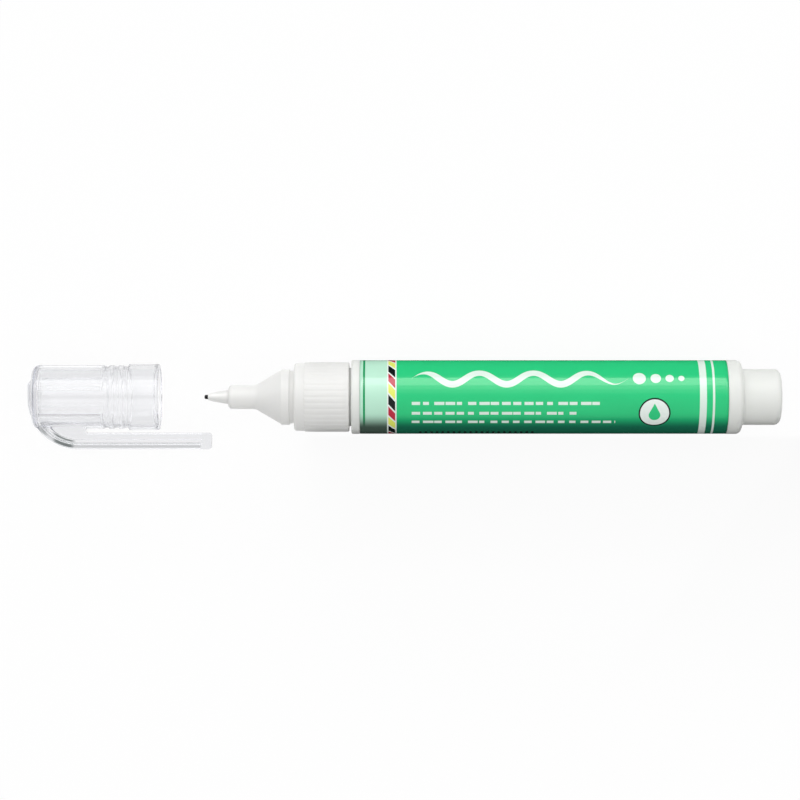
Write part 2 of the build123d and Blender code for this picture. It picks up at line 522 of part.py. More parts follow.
# Cap: turned shell with grooves round the outside and ribs inside, and the clip moulded on its end
with BuildPart() as cap:
    body_front = CAP_MOUTH - CAP_GROOVE_FIRST
    outside = half_section(
        (CAP_MOUTH, 0, 0),
        (CAP_MOUTH, CAP_MOUTH_RADIUS, 0, CAP_MOUTH_BEVEL),
        (body_front, CAP_MOUTH_RADIUS, 0),
        (body_front, CAP_BODY_RADIUS, 0),
        (CAP_END, CAP_BODY_RADIUS, CAP_END_ROUND),
        (CAP_END, 0, 0),
    )
    revolve(outside, axis=Axis.X)
    for groove in range(CAP_GROOVE_COUNT):
        station = body_front - groove * CAP_GROOVE_PITCH
        with BuildSketch(Plane.XY):
            with Locations((station, CAP_BODY_RADIUS + CAP_GROOVE_RADIUS - CAP_GROOVE_DEPTH)):
                Circle(CAP_GROOVE_RADIUS)
        revolve(axis=Axis.X, mode=Mode.SUBTRACT)

    # Outer strip of the clip: a rounded section that leaves the cap's end and bends round to the side
    strip_depth = CLIP_THICKNESS / 2
    strip_root = CLIP_ROOT + strip_depth
    strip_side = CLIP_OUTSIDE - strip_depth
    with BuildLine() as strip_line:
        FilletPolyline(
            (CAP_CAVITY_END, CLIP_ROOT_RISE),
            (strip_root, CLIP_ROOT_RISE),
            (strip_root, -strip_side),
            (CLIP_ARM_END, -strip_side),
            radius=[CLIP_ROOT_ROUND - strip_depth, CLIP_BEND - strip_depth],
        )
    with BuildSketch(Plane(origin=(CAP_CAVITY_END, CLIP_ROOT_RISE, 0), x_dir=(0, 1, 0), z_dir=(-1, 0, 0))):
        RectangleRounded(CLIP_THICKNESS, CLIP_WIDTH, CLIP_CORNER_ROUND)
    sweep(path=strip_line.wires()[0])

    # Inner bar: runs along the inside of the strip at the groove's distance
    bar_depth = CLIP_DEPTH - CLIP_BAR / 2
    bar_root = CLIP_ROOT + bar_depth
    bar_side = CLIP_OUTSIDE - bar_depth
    with BuildLine() as bar_line:
        FilletPolyline(
            (bar_root, 0),
            (bar_root, -bar_side),
            (CLIP_ARM_END, -bar_side),
            radius=CLIP_BEND - bar_depth,
        )
    with BuildSketch(Plane(origin=(bar_root, 0, 0), x_dir=(1, 0, 0), z_dir=(0, -1, 0))):
        RectangleRounded(CLIP_BAR, CLIP_WIDTH, CLIP_CORNER_ROUND)
    sweep(path=bar_line.wires()[0])

    # Core between strip and bar, which leaves the groove along each side
    core = half_section(
        (CLIP_ARM_END, -strip_side, 0),
        (strip_root, -strip_side, CLIP_BEND - strip_depth),
        (strip_root, 0, 0),
        (bar_root, 0, 0),
        (bar_root, -bar_side, CLIP_BEND - bar_depth),
        (CLIP_ARM_END, -bar_side, 0),
    )
    extrude(core, amount=CLIP_CORE_WIDTH / 2, both=True)

    # Web that fills the bend between the bar and the cap, up to the open gap
    web = half_section(
        (CLIP_GAP_END, 0, 0),
        (bar_root, 0, 0),
        (bar_root, -bar_side, CLIP_BEND - bar_depth),
        (CLIP_GAP_END + CLIP_GAP_ROUND, -bar_side, 0),
        (CLIP_GAP_END + CLIP_GAP_ROUND, -CLIP_INSIDE, 0),
        (CLIP_GAP_END, -CLIP_INSIDE, CLIP_GAP_ROUND),
    )
    extrude(web, amount=CLIP_WIDTH / 2, both=True)

    # Rounded block at the clip's free end
    block = half_section(
        (CLIP_FREE_END, -CLIP_INSIDE, CLIP_BLOCK_ROUND),
        (CLIP_FREE_END - CLIP_BLOCK_LENGTH, -CLIP_INSIDE, CLIP_BLOCK_ROUND),
        (CLIP_FREE_END - CLIP_BLOCK_LENGTH, -CLIP_OUTSIDE, 0),
        (CLIP_FREE_END, -CLIP_OUTSIDE, CLIP_BLOCK_ROUND),
    )
    extrude(block, amount=CLIP_WIDTH / 2, both=True)

    # Inside: mouth bore with its snap bead, then the narrower closed part
    cavity = half_section(
        (CAP_MOUTH + OVERRUN, 0, 0),
        (CAP_MOUTH + OVERRUN, CAP_BORE, 0),
        (CAP_MOUTH - CAP_BEAD_SETBACK, CAP_BORE, 0),
        (CAP_MOUTH - CAP_BEAD_SETBACK - CAP_BEAD_WIDTH / 2, CAP_BEAD, 0),
        (CAP_MOUTH - CAP_BEAD_SETBACK - CAP_BEAD_WIDTH, CAP_BORE, 0),
        (CAP_RIB_START, CAP_BORE, 0),
        (CAP_RIB_START, CAP_BODY_BORE, 0),
        (CAP_CAVITY_END, CAP_BODY_BORE, CAP_INNER_ROUND),
        (CAP_CAVITY_END, 0, 0),
    )
    revolve(cavity, axis=Axis.X, mode=Mode.SUBTRACT)
    with BuildSketch(Plane.YZ.offset(CAP_CAVITY_END - CAP_END_WALL / 2)):
        with PolarLocations(CAP_BODY_BORE, CAP_RIB_COUNT, start_angle=180 + CAP_RIB_TURN):
            Rectangle(2 * CAP_RIB_HEIGHT, CAP_RIB_WIDTH)
    extrude(amount=CAP_RIB_START - CAP_CAVITY_END + CAP_END_WALL / 2)
cap.part.label = "cap"
export_step(cap.part, "parts/cap.step")

print(f"cap: slides {CAP_PULL:.2f} mm, needle: slides {NEEDLE_TRAVEL:.2f} mm")
print(f"ball: rolls {BALL_REACH:.2f} mm")
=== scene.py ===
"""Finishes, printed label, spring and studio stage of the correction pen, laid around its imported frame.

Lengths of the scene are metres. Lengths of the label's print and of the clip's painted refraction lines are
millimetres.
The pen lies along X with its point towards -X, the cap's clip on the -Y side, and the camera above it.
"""

import math

import bpy
import numpy as np
from bpy.props import FloatProperty, FloatVectorProperty, PointerProperty
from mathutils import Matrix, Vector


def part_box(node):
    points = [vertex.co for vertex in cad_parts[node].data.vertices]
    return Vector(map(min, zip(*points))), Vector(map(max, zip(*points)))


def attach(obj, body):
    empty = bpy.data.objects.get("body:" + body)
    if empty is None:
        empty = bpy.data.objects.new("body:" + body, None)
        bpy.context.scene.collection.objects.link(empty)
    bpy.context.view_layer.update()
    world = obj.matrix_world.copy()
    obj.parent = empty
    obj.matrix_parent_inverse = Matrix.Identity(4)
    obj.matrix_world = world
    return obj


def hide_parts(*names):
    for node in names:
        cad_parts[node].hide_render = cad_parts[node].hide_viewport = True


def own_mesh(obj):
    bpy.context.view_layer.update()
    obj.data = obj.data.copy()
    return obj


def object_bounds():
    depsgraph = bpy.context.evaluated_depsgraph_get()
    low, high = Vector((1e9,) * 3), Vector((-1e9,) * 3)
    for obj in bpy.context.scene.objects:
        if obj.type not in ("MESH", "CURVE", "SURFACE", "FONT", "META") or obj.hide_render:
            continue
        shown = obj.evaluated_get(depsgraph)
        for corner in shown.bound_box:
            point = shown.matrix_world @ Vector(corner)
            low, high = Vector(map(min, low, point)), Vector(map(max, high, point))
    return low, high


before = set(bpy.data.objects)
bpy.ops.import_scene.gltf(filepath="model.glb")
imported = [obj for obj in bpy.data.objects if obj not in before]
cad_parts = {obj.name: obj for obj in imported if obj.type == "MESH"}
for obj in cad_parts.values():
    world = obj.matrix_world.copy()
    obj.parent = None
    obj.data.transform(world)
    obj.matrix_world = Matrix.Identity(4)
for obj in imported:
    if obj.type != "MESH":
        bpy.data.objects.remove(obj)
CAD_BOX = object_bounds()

bl_info = {
    "name": "Correction Pen Finish",
    "version": (1, 0, 0),
    "blender": (4, 5, 0),
    "location": "View3D > Sidebar > Pen",
    "description": "Gives the correction pen its finishes, printed label, spring and studio stage",
    "category": "Object",
}

MM = 0.001
FULL_TURN = 2 * math.pi
FLOOR_HEIGHT = CAD_BOX[0].z

# Label film
LABEL_LOW, LABEL_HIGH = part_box("label_sleeve")
LABEL_RADIUS = LABEL_HIGH.z
LABEL_GIRTH = FULL_TURN * LABEL_RADIUS
LABEL_THICKNESS = 0.00011
LABEL_SEAM = 0.0003  # gap between the film's two edges, underneath
LABEL_ROWS, LABEL_COLUMNS = 120, 181

# Valve spring
SPRING_LOW, SPRING_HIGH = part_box("valve_spring")
SPRING_WIRE = 0.00015  # radius of the wire
SPRING_TURNS = 5
SPRING_ROWS, SPRING_COLUMNS = 181, 12

# Cap and its clip
CAP_LOW, CAP_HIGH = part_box("cap")
CLIP_BEND_SHARE = 0.98  # outer radius of the bend, as a share of the clip's reach from the axis
CLIP_BLOCK_LENGTH = 0.0023  # block at the clip's free end

# Stage
LIGHT_BOUNCES = 24  # the clear cap has many walls one behind the other
SENSOR_WIDTH = 36.0
VIEW_END = 10.0
SOFTBOX_DISTANCE = 0.7
SOFTBOX_LENGTH = 2.6
CARD_LIFT = 0.0005
CARD_OVERRUN = 0.04
CARD_BLACK = (0.02, 0.02, 0.02, 1.0)
WHITE = (1.0, 1.0, 1.0, 1.0)
# Softboxes that shade the pen: name, also that of its radiance, and angles from overhead towards +Y
SHADING_BOXES = (("rim", 62.0, 84.0), ("shoulder", 36.0, 62.0), ("key", 6.0, 36.0), ("fill", -50.0, -8.0))
# Softboxes that only gleam: name, angles and share of the gleam's radiance
GLEAM_BOXES = (("gleam", 37.0, 62.0, 1.0), ("gleam_fade", 24.0, 37.0, 0.4), ("gleam_end", 12.0, 24.0, 0.15))


def size_property(name, description, default):
    """A length in metres for the sidebar."""
    return FloatProperty(
        name=name, description=description, default=default, subtype="DISTANCE", unit="LENGTH"
    )


def share_property(name, description, default):
    """A share from 0 to 1 for the sidebar."""
    return FloatProperty(name=name, description=description, default=default, subtype="FACTOR")


def level_property(name, description, default):
    """A strength of light for the sidebar."""
    return FloatProperty(name=name, description=description, default=default)


def colour_property(name, description, default):
    """A linear colour for the sidebar."""
    return FloatVectorProperty(
        name=name, description=description, default=default, size=3, subtype="COLOR"
    )


class PenColours(bpy.types.PropertyGroup):
    """Colours of the pen's finishes."""

    barrel_white: colour_property("Barrel", "Plastic of the squeeze barrel", (0.80, 0.815, 0.785))
    front_white: colour_property("Front section", "Plastic of collar, seat and tube", (0.81, 0.81, 0.795))
    clear: colour_property("Cap", "Tint of the clear cap", (0.935, 0.937, 0.945))
    # Painted refraction: dark lines painted into the clear cap's colour along its clip, in place of a dark
    # surround seen through its walls
    clip_painted_refraction: colour_property("Clip lines", "Tint of the lines along the clip", (0.11, 0.135, 0.13))
    field_green: colour_property("Label field", "Main green of the label", (0.026, 0.600, 0.220))
    # Painted shade: the label's green drawn darker in a band along its -Y side, away from the lamps
    label_painted_shade: colour_property("Label side", "Band along the label's side", (0.011, 0.165, 0.090))
    mint: colour_property("Label end band", "Pale band at the label's front end", (0.52, 0.84, 0.66))
    ink_white: colour_property("White ink", "White print on the label", (0.84, 0.92, 0.87))
    ink_dark: colour_property("Dark ink", "Near-black print on the label", (0.006, 0.010, 0.010))
    accent_yellow: colour_property("Yellow accent", "Yellow print on the label", (0.80, 0.86, 0.16))
    accent_red: colour_property("Red accent", "Red print on the label", (0.52, 0.025, 0.055))
    tip: colour_property("Point", "Satin metal of the point", (0.78, 0.78, 0.765))
    needle: colour_property("Needle", "Dark steel of the writing end", (0.018, 0.018, 0.020))
    spring: colour_property("Spring", "Drawn steel wire", (0.50, 0.50, 0.51))
    ball: colour_property("Ball", "Polished steel", (0.60, 0.60, 0.61))
    rubber: colour_property("Gasket", "Black rubber", (0.02, 0.02, 0.02))
    inner_white: colour_property("Inner plastic", "Plastic of the valve's pieces", (0.74, 0.74, 0.71))


class PenStage(bpy.types.PropertyGroup):
    """Camera, floor, cards and lights."""

    view_width: size_property("View width", "Width of the picture at the pen's axis", 0.1864)
    view_distance: size_property("Camera height", "Camera's height over the pen's axis", 0.74)
    view_centre_x: size_property("View centre X", "Station under the picture's middle", -0.0885)
    view_centre_y: size_property("View centre Y", "Side offset of the picture's middle", -0.0007)
    floor_reach: size_property("Floor reach", "Half the floor's width", 2.0)
    floor_glow: share_property("Floor glow", "Share of plain white in what is seen of the floor", 0.95)
    floor_tone: share_property("Floor tone", "Grey of the matt floor", 0.90)
    flag_start: size_property("Flag start", "Station where the black cards begin", -0.110)
    flag_near: size_property("Flag foot", "From the axis to each black card's near edge", 0.0095)
    flag_far: size_property("Flag head", "From the axis to each black card's far edge", 0.045)
    flag_rise: size_property("Flag rise", "Height of each black card's far edge", 0.030)
    sky_strength: level_property("Sky", "Strength of the even light from all round", 0.05)
    sky_mirrored: level_property("Mirrored sky", "Strength of the sky in reflections", 0.45)
    gleam_radiance: level_property("Gleam", "Radiance of what gleams on the film", 3.6)
    shoulder_radiance: level_property("Shoulder", "Radiance of the softbox by the key", 0.5)
    key_radiance: level_property("Key", "Radiance of the key softbox", 1.25)
    rim_radiance: level_property("Rim", "Radiance of the low softbox behind the pen", 2.4)
    fill_radiance: level_property("Fill", "Radiance of the softbox on the dim side", 1.65)


class Socket:
    """A node's output, on which Python's arithmetic adds Math nodes."""

    def __init__(self, finish, output):
        self.finish = finish
        self.output = output

    def math(self, operation, *values):
        return self.finish.node("ShaderNodeMath", {"operation": operation}, dict(enumerate(values)))

    def __add__(self, other):
        return self.math("ADD", self, other)

    __radd__ = __add__

    def __sub__(self, other):
        return self.math("SUBTRACT", self, other)

    def __rsub__(self, other):
        return self.math("SUBTRACT", other, self)

    def __mul__(self, other):
        return self.math("MULTIPLY", self, other)

    __rmul__ = __mul__

    def __truediv__(self, other):
        return self.math("DIVIDE", self, other)

    def __pow__(self, other):
        return self.math("POWER", self, other)

    def __abs__(self):
        return self.math("ABSOLUTE", self)

    def part(self):
        """Fractional part."""
        return self.math("FRACT", self)

    def whole(self):
        """Whole part."""
        return self.math("FLOOR", self)

    def sine(self):
        return self.math("SINE", self)

    def cosine(self):
        return self.math("COSINE", self)

    def root(self):
        return self.math("SQRT", self)

    def most(self, other):
        return self.math("MAXIMUM", self, other)

    def rise(self, low, high):
        """Smooth step from 0 at low to 1 at high."""
        return self.finish.node(
            "ShaderNodeMapRange",
            {"interpolation_type": "SMOOTHSTEP"},
            {"Value": self, "From Min": low, "From Max": high},
        )

    def within(self, low, high, soft):
        """1 between low and high, 0 outside, over an edge that is soft on each side."""
        return self.rise(low - soft, low + soft) * (1 - self.rise(high - soft, high + soft))


class Finish:
    """One material or sky, built from nodes that are made by a single method."""

    MIX_FIRST, MIX_SECOND, MIX_RESULT = 6, 7, 2  # colour sockets of a Mix node

    def __init__(self, holder, end="ShaderNodeOutputMaterial"):
        self.holder = holder
        self.end = end
        holder.use_nodes = True
        self.tree = holder.node_tree
        self.tree.nodes.clear()

    def node(self, kind, settings=None, inputs=None, output=0):
        """Adds a node of a kind, sets its settings first, then the values or links of its sockets."""
        made = self.tree.nodes.new(kind)
        for key, value in (settings or {}).items():
            setattr(made, key, value)
        for key, value in (inputs or {}).items():
            if isinstance(value, Socket):
                self.tree.links.new(value.output, made.inputs[key])
            else:
                made.inputs[key].default_value = value
        return Socket(self, made.outputs[output]) if made.outputs else None

    def place(self):
        """Object coordinates, in metres of the pen's own frame."""
        return self.node("ShaderNodeTexCoord", output="Object")

    def axes(self, vector):
        """The three numbers of a vector."""
        split = self.node("ShaderNodeSeparateXYZ", inputs={"Vector": vector})
        return [Socket(self, out) for out in split.output.node.outputs]

    def stretch(self, vector, scales):
        """A vector with each of its numbers multiplied."""
        return self.node("ShaderNodeVectorMath", {"operation": "MULTIPLY"}, {0: vector, 1: scales})

    def noise(self, vector, scale=1.0, detail=2.0):
        """Cloudy value about 0.5, with scale blotches to the vector's unit."""
        return self.node(
            "ShaderNodeTexNoise", inputs={"Vector": vector, "Scale": scale, "Detail": detail}
        )

    def mix(self, factor, first, second):
        """Colour between two colours."""
        made = self.node(
            "ShaderNodeMix", {"data_type": "RGBA"}, {"Factor": factor}, output=self.MIX_RESULT
        )
        sockets = made.output.node.inputs
        for socket, end in ((sockets[self.MIX_FIRST], first), (sockets[self.MIX_SECOND], second)):
            if isinstance(end, Socket):
                self.tree.links.new(end.output, socket)
            else:
                socket.default_value = (*end, 1.0)
        return made

    def bump(self, height, depth):
        """Normal of a surface that a height from 0 to 1 raises by a depth in metres."""
        return self.node("ShaderNodeBump", inputs={"Height": height, "Distance": depth, "Strength": 1.0})

    def principled(self, **sockets):
        """The surface shader, with socket names in lower case and underscores for spaces."""
        named = {}
        for name, value in sockets.items():
            title = " ".join(word if word == "IOR" else word.capitalize() for word in name.split("_"))
            named[title] = value
        return self.node("ShaderNodeBsdfPrincipled", inputs=named)

    def seen(self, *kinds):
        """1 for the named kinds of ray, of Camera, Glossy and Transmission, and 0 for the others."""
        path = self.node("ShaderNodeLightPath").output.node.outputs
        first, *others = [Socket(self, path[f"Is {kind} Ray"]) for kind in kinds]
        for other in others:
            first = first.most(other)
        return first

    def done(self, shader, volume=None):
        """Ends the tree with a shader, and a volume where light fades inside, and gives its holder."""
        inputs = {"Surface": shader}
        if volume is not None:
            inputs["Volume"] = volume
        self.node(self.end, inputs=inputs)
        return self.holder


def plain(colour):
    """A sidebar colour as a tuple."""
    return tuple(colour)


def shade(colour, share):
    """A colour with all its numbers multiplied."""
    return tuple(share * number for number in colour)


def moulded_plastic(name, colour, roughness, translucency):
    """Satin moulded plastic: a clouded white with a fine grain and flow marks along the pen."""
    flow_scales = (160.0, 900.0, 900.0)
    cloud_gloss, flow_gloss = 0.10, 0.08
    finish = Finish(bpy.data.materials.new(name))
    place = finish.place()
    cloud = finish.noise(place, scale=70.0, detail=3.0)
    flow = finish.noise(finish.stretch(place, flow_scales))
    grain = finish.noise(place, scale=9000.0)
    return finish.done(
        finish.principled(
            base_color=finish.mix(cloud.rise(0.3, 0.7), shade(colour, 0.985), shade(colour, 1.01)),
            roughness=roughness + (cloud - 0.5) * cloud_gloss + (flow - 0.5) * flow_gloss,
            normal=finish.bump(grain * 0.5 + flow * 0.5, depth=0.000012),
            specular_IOR_level=0.2,
            subsurface_weight=translucency,
            subsurface_radius=(1.0, 1.0, 0.9),
            subsurface_scale=0.0012,
        )
    )


class PaintedRefractionLines:
    """Measures in millimetres of the painted refraction: dark lines painted along the clear clip's two
    sides.
    """

    ARM_DEPTHS = ((0.40, 0.95), (1.15, 1.55))  # from the clip's outside
    ARM_PAINTED_REFRACTION = 0.31
    BEND_DEPTHS = ((0.30, 0.95), (1.60, 1.95))
    BEND_PAINTED_REFRACTION = 0.9
    SOFT = 0.1
    LONG_STROKE = (1.4, 6.0, 0.8)  # along -X from the bend's middle: first, last and softness
    SHORT_STROKE = (7.6, 9.2, 0.4)
    SHORT_PAINTED_REFRACTION = 0.7
    SIDE_RISE = (1.55, 1.70)  # height of the clip's sides, where the lines come in
    ROOT_FADE = (-6.8, -6.0)  # along Y, where they go out towards the root
    BLOCK_FADE = 0.3


def painted_refraction_lines(finish):
    """Share of painted refraction on the clip's two sides: two dark lines that keep their depth from the
    clip's outside along its arm and round its bend, and are stronger in two strokes on the bend. The depth
    is the bend's radius less the distance from the bend's middle, or from the line along the arm through
    that middle."""
    x, y, z = finish.axes(finish.stretch(finish.place(), (1 / MM, 1 / MM, 1 / MM)))
    outside = -CAP_LOW.y / MM
    radius = CLIP_BEND_SHARE * outside
    before = (CAP_LOW.x / MM + radius - x).most(0.0)
    depth = radius - (before**2 + (y + outside - radius) ** 2).root()

    def pair(depths):
        """Mask of two lines, each between its two depths."""
        first, second = (depth.within(*ends, PaintedRefractionLines.SOFT) for ends in depths)
        return first.most(second)

    short = before.within(*PaintedRefractionLines.SHORT_STROKE) * PaintedRefractionLines.SHORT_PAINTED_REFRACTION
    strokes = before.within(*PaintedRefractionLines.LONG_STROKE).most(short)
    arm = pair(PaintedRefractionLines.ARM_DEPTHS) * PaintedRefractionLines.ARM_PAINTED_REFRACTION
    bend = pair(PaintedRefractionLines.BEND_DEPTHS) * PaintedRefractionLines.BEND_PAINTED_REFRACTION * strokes
    sides = abs(z).rise(*PaintedRefractionLines.SIDE_RISE) * (1 - y.rise(*PaintedRefractionLines.ROOT_FADE))
    block = (CAP_HIGH.x - CLIP_BLOCK_LENGTH) / MM
    return arm.most(bend) * sides * (1 - x.rise(block - PaintedRefractionLines.BLOCK_FADE, block))


def clear_plastic(name, colour, painted_refraction_colour):
    """Polished clear plastic with faint handling haze, and dark lines of painted refraction along its clip.
    """
    finish = Finish(bpy.data.materials.new(name))
    place = finish.place()
    haze = finish.noise(place, scale=260.0, detail=4.0)
    wave = finish.noise(place, scale=180.0, detail=1.0)
    inside = finish.node(
        "ShaderNodeVolumeAbsorption", inputs={"Color": (0.55, 0.56, 0.62, 1.0), "Density": 40.0}
    )
    return finish.done(
        finish.principled(
            # Painted refraction: the clip's dark lines are mixed into the base colour
            base_color=finish.mix(painted_refraction_lines(finish), colour, painted_refraction_colour),
            roughness=0.12 + 0.05 * haze.rise(0.45, 0.8),
            normal=finish.bump(wave, depth=0.00001),
            IOR=1.49,
            transmission_weight=1.0,
        ),
        inside,
    )


def turned_metal(name, colour, roughness, metallic):
    """Metal turned about the pen's axis: fine rings along it and a cloudy sheen."""
    ring_scales = (22000.0, 400.0, 400.0)
    ring_gloss = 0.2
    finish = Finish(bpy.data.materials.new(name))
    place = finish.place()
    rings = finish.noise(finish.stretch(place, ring_scales))
    cloud = finish.noise(place, scale=500.0)
    return finish.done(
        finish.principled(
            base_color=finish.mix(cloud, shade(colour, 0.94), shade(colour, 1.03)),
            roughness=roughness + (rings - 0.5) * ring_gloss,
            metallic=metallic,
            normal=finish.bump(rings, depth=0.000006),
        )
    )


def black_rubber(name, colour):
    """Matt rubber with a fine speckle."""
    finish = Finish(bpy.data.materials.new(name))
    speckle = finish.noise(finish.place(), scale=5000.0)
    return finish.done(
        finish.principled(
            base_color=finish.mix(speckle, shade(colour, 0.7), shade(colour, 1.6)),
            roughness=0.7 + 0.2 * speckle,
            normal=finish.bump(speckle, depth=0.00002),
        )
    )


class Print:
    """Masks of a label's print, with s along the label from its front end, and t round it from the top line
    towards +Y."""

    EDGE = 0.05
    SHORTEST_DASH, DASH_SPREAD = 0.45, 0.5  # shares of a pitch
    TICK_START = (0.55, 0.6)

    def __init__(self, finish):
        self.finish = finish
        u, v, _ = finish.axes(finish.node("ShaderNodeUVMap", {"uv_map": "print"}))
        self.s = u * ((LABEL_HIGH.x - LABEL_LOW.x) / MM)
        self.t = (v - 0.5) * (LABEL_GIRTH / MM)

    def ring(self, first, last):
        """Band right round the label between two places along it."""
        return self.s.within(first, last, self.EDGE)

    def stripe(self, low, high, soft=EDGE):
        """Band along the label between two places round it."""
        return self.t.within(low, high, soft)

    def disc(self, s, t, radius):
        """Filled circle."""
        distance = ((self.s - s) ** 2 + (self.t - t) ** 2).root()
        return 1 - distance.rise(radius - self.EDGE, radius + self.EDGE)

    def wave(self, first, last, middle, swing, pitch, half_width):
        """Brush line that swings about a middle line, as thick as its half width and tapered at both ends:
        the way to the sine, divided by the root of one and its slope squared, is held against the width."""
        turn = (self.s - first) * (FULL_TURN / pitch)
        slope = turn.cosine() * (swing * FULL_TURN / pitch)
        apart = abs(self.t - middle - turn.sine() * swing) / (1 + slope * slope).root()
        taper = self.s.rise(first, first + pitch / 2) * (1 - self.s.rise(last - pitch, last))
        return (taper * half_width - apart).rise(-self.EDGE, self.EDGE) * self.ring(first, last)

    def dashes(self, first, last, middle, half_width, pitch, seed):
        """Broken rule: in each pitch along the label a dash of its own length."""
        step = (self.s - first) / pitch
        chance = self.finish.node(
            "ShaderNodeTexWhiteNoise", {"noise_dimensions": "1D"}, {"W": step.whole() + seed}
        )
        length = self.SHORTEST_DASH + self.DASH_SPREAD * chance
        dash = (length - step.part()).rise(-self.EDGE / pitch, self.EDGE / pitch)
        return dash * self.ring(first, last) * self.stripe(middle - half_width, middle + half_width)

    def ticks(self, first, last, low, high, pitch):
        """Row of short marks across, each filling the last part of its pitch."""
        marks = ((self.s - first) / pitch).part().rise(*self.TICK_START)
        return marks * self.ring(first, last) * self.stripe(low, high)

    def drop(self, s, t, radius, reach):
        """Drop: a filled circle, and above it a tip whose sides run straight in to a point at its reach."""
        slope = radius / math.sqrt(reach**2 - radius**2)
        side = (reach - (self.t - t)) * slope - abs(self.s - s)
        foot = t + radius**2 / reach
        tip = side.rise(-self.EDGE, self.EDGE) * self.t.rise(foot - self.EDGE, foot + self.EDGE)
        return self.disc(s, t, radius).most(tip)


class Artwork:
    """Layout of the label's print in millimetres, along the label and round it."""

    # Painted shade along the label's -Y side: its band round the label, and the share of the pale band's
    # colour left there
    PAINTED_SHADE_BAND = (-14.2, -6.0, 2.4)  # first, last and softness
    END_BAND_PAINTED_SHADE = 0.14
    WAVE = {"first": 12.0, "last": 62.0, "middle": 4.5, "swing": 1.5, "pitch": 12.5, "half_width": 0.8}
    DOT_LINE = 4.5
    DOTS = ((64.5, 1.5), (68.3, 1.2), (71.5, 0.95), (74.2, 0.7))  # place along and radius
    RULES = ((-1.5, 56.0), (-3.9, 50.0), (-6.3, 59.0))  # place round and last place along
    RULE = {"first": 12.0, "half_width": 0.36, "pitch": 2.6}
    RULE_SEED = 7.0
    REAR_RINGS = ((78.4, 80.0), (81.4, 81.9))
    INK_COVER = 0.9
    TICKS = {"first": 13.0, "last": 40.3, "low": -11.6, "high": -10.2, "pitch": 1.3}
    SIGN = (68.0, -3.9)  # middle of the roundel
    SIGN_RADIUS, SIGN_FIELD_RADIUS = 3.7, 3.35
    DROP_SHIFT, DROP_RADIUS, DROP_REACH = -0.5, 1.35, 2.9
    END_BAND = (6.25, 6.35)
    END_LINE = (0.75, 1.25)
    END_LINE_SHADE = 0.55
    ACCENT, ACCENT_FIELD = (6.3, 8.5), (6.6, 8.2)
    ACCENT_SLANT, ACCENT_PITCH, ACCENT_SOFT = 1.1, 8.1, 0.006
    # Strips of the accent as shares of its pitch: first, last and colour
    STRIPS = ((0.03, 0.30, "accent_yellow"), (0.36, 0.63, "accent_red"), (0.69, 0.97, "ink_dark"))


def white_ink(art):
    """Mask of the white print: the wave with its dots, the broken rules and the rings at the rear."""
    ink = art.wave(**Artwork.WAVE)
    for s, radius in Artwork.DOTS:
        ink = ink.most(art.disc(s, Artwork.DOT_LINE, radius))
    for row, (middle, last) in enumerate(Artwork.RULES):
        ink = ink.most(art.dashes(last=last, middle=middle, seed=Artwork.RULE_SEED * row, **Artwork.RULE))
    for first, last in Artwork.REAR_RINGS:
        ink = ink.most(art.ring(first, last))
    return ink


def printed_film(name, colours):
    """Glossy printed film: a green field, a pale band and a slanted accent at its front end, the white
    print, ticks and a roundel with a drop, over a faintly uneven surface. Painted shade draws the field and
    the pale band darker along the label's -Y side."""
    ripple_scales = (60.0, 260.0, 260.0)
    finish = Finish(bpy.data.materials.new(name))
    art = Print(finish)
    green, white, dark = plain(colours.field_green), plain(colours.ink_white), plain(colours.ink_dark)
    mint, painted_shade_green = plain(colours.mint), plain(colours.label_painted_shade)
    place = finish.place()
    cloud = finish.noise(place, scale=120.0, detail=3.0)
    painted_shade_band = art.stripe(*Artwork.PAINTED_SHADE_BAND)
    ink = white_ink(art)

    colour = finish.mix(cloud, shade(green, 0.96), shade(green, 1.04))
    # Painted shade: the field drawn darker along the label's -Y side
    colour = finish.mix(painted_shade_band, colour, painted_shade_green)
    colour = finish.mix(ink * Artwork.INK_COVER, colour, white)
    colour = finish.mix(art.ticks(**Artwork.TICKS), colour, dark)

    sign_s, sign_t = Artwork.SIGN
    drop = art.drop(sign_s, sign_t + Artwork.DROP_SHIFT, Artwork.DROP_RADIUS, Artwork.DROP_REACH)
    colour = finish.mix(art.disc(sign_s, sign_t, Artwork.SIGN_RADIUS), colour, dark)
    colour = finish.mix(art.disc(sign_s, sign_t, Artwork.SIGN_FIELD_RADIUS), colour, white)
    colour = finish.mix(drop, colour, green)

    end_band = finish.mix(art.ring(*Artwork.END_LINE), mint, shade(green, Artwork.END_LINE_SHADE))
    # Painted shade: the pale band and its line drawn dark along the label's -Y side
    end_band = finish.mix(painted_shade_band, end_band, shade(mint, Artwork.END_BAND_PAINTED_SHADE))
    colour = finish.mix(1 - art.s.rise(*Artwork.END_BAND), colour, end_band)

    slant = ((art.t + art.s * Artwork.ACCENT_SLANT) / Artwork.ACCENT_PITCH).part()
    strips = white
    for first, last, strip in Artwork.STRIPS:
        here = slant.within(first, last, Artwork.ACCENT_SOFT)
        strips = finish.mix(here, strips, plain(getattr(colours, strip)))
    accent = finish.mix(art.ring(*Artwork.ACCENT_FIELD), white, strips)
    colour = finish.mix(art.ring(*Artwork.ACCENT), colour, accent)

    ripple = finish.noise(finish.stretch(place, ripple_scales))
    return finish.done(
        finish.principled(
            base_color=colour,
            roughness=0.2 + 0.1 * ink + 0.06 * (cloud - 0.5),
            normal=finish.bump(ripple, depth=0.00002),
            specular_IOR_level=0.0,
            coat_weight=1.0,
            coat_roughness=0.1,
        )
    )


def add_piece(name, mesh):
    """Puts a mesh into the scene as a piece at the origin."""
    piece = bpy.data.objects.new(name, mesh)
    bpy.context.scene.collection.objects.link(piece)
    return piece


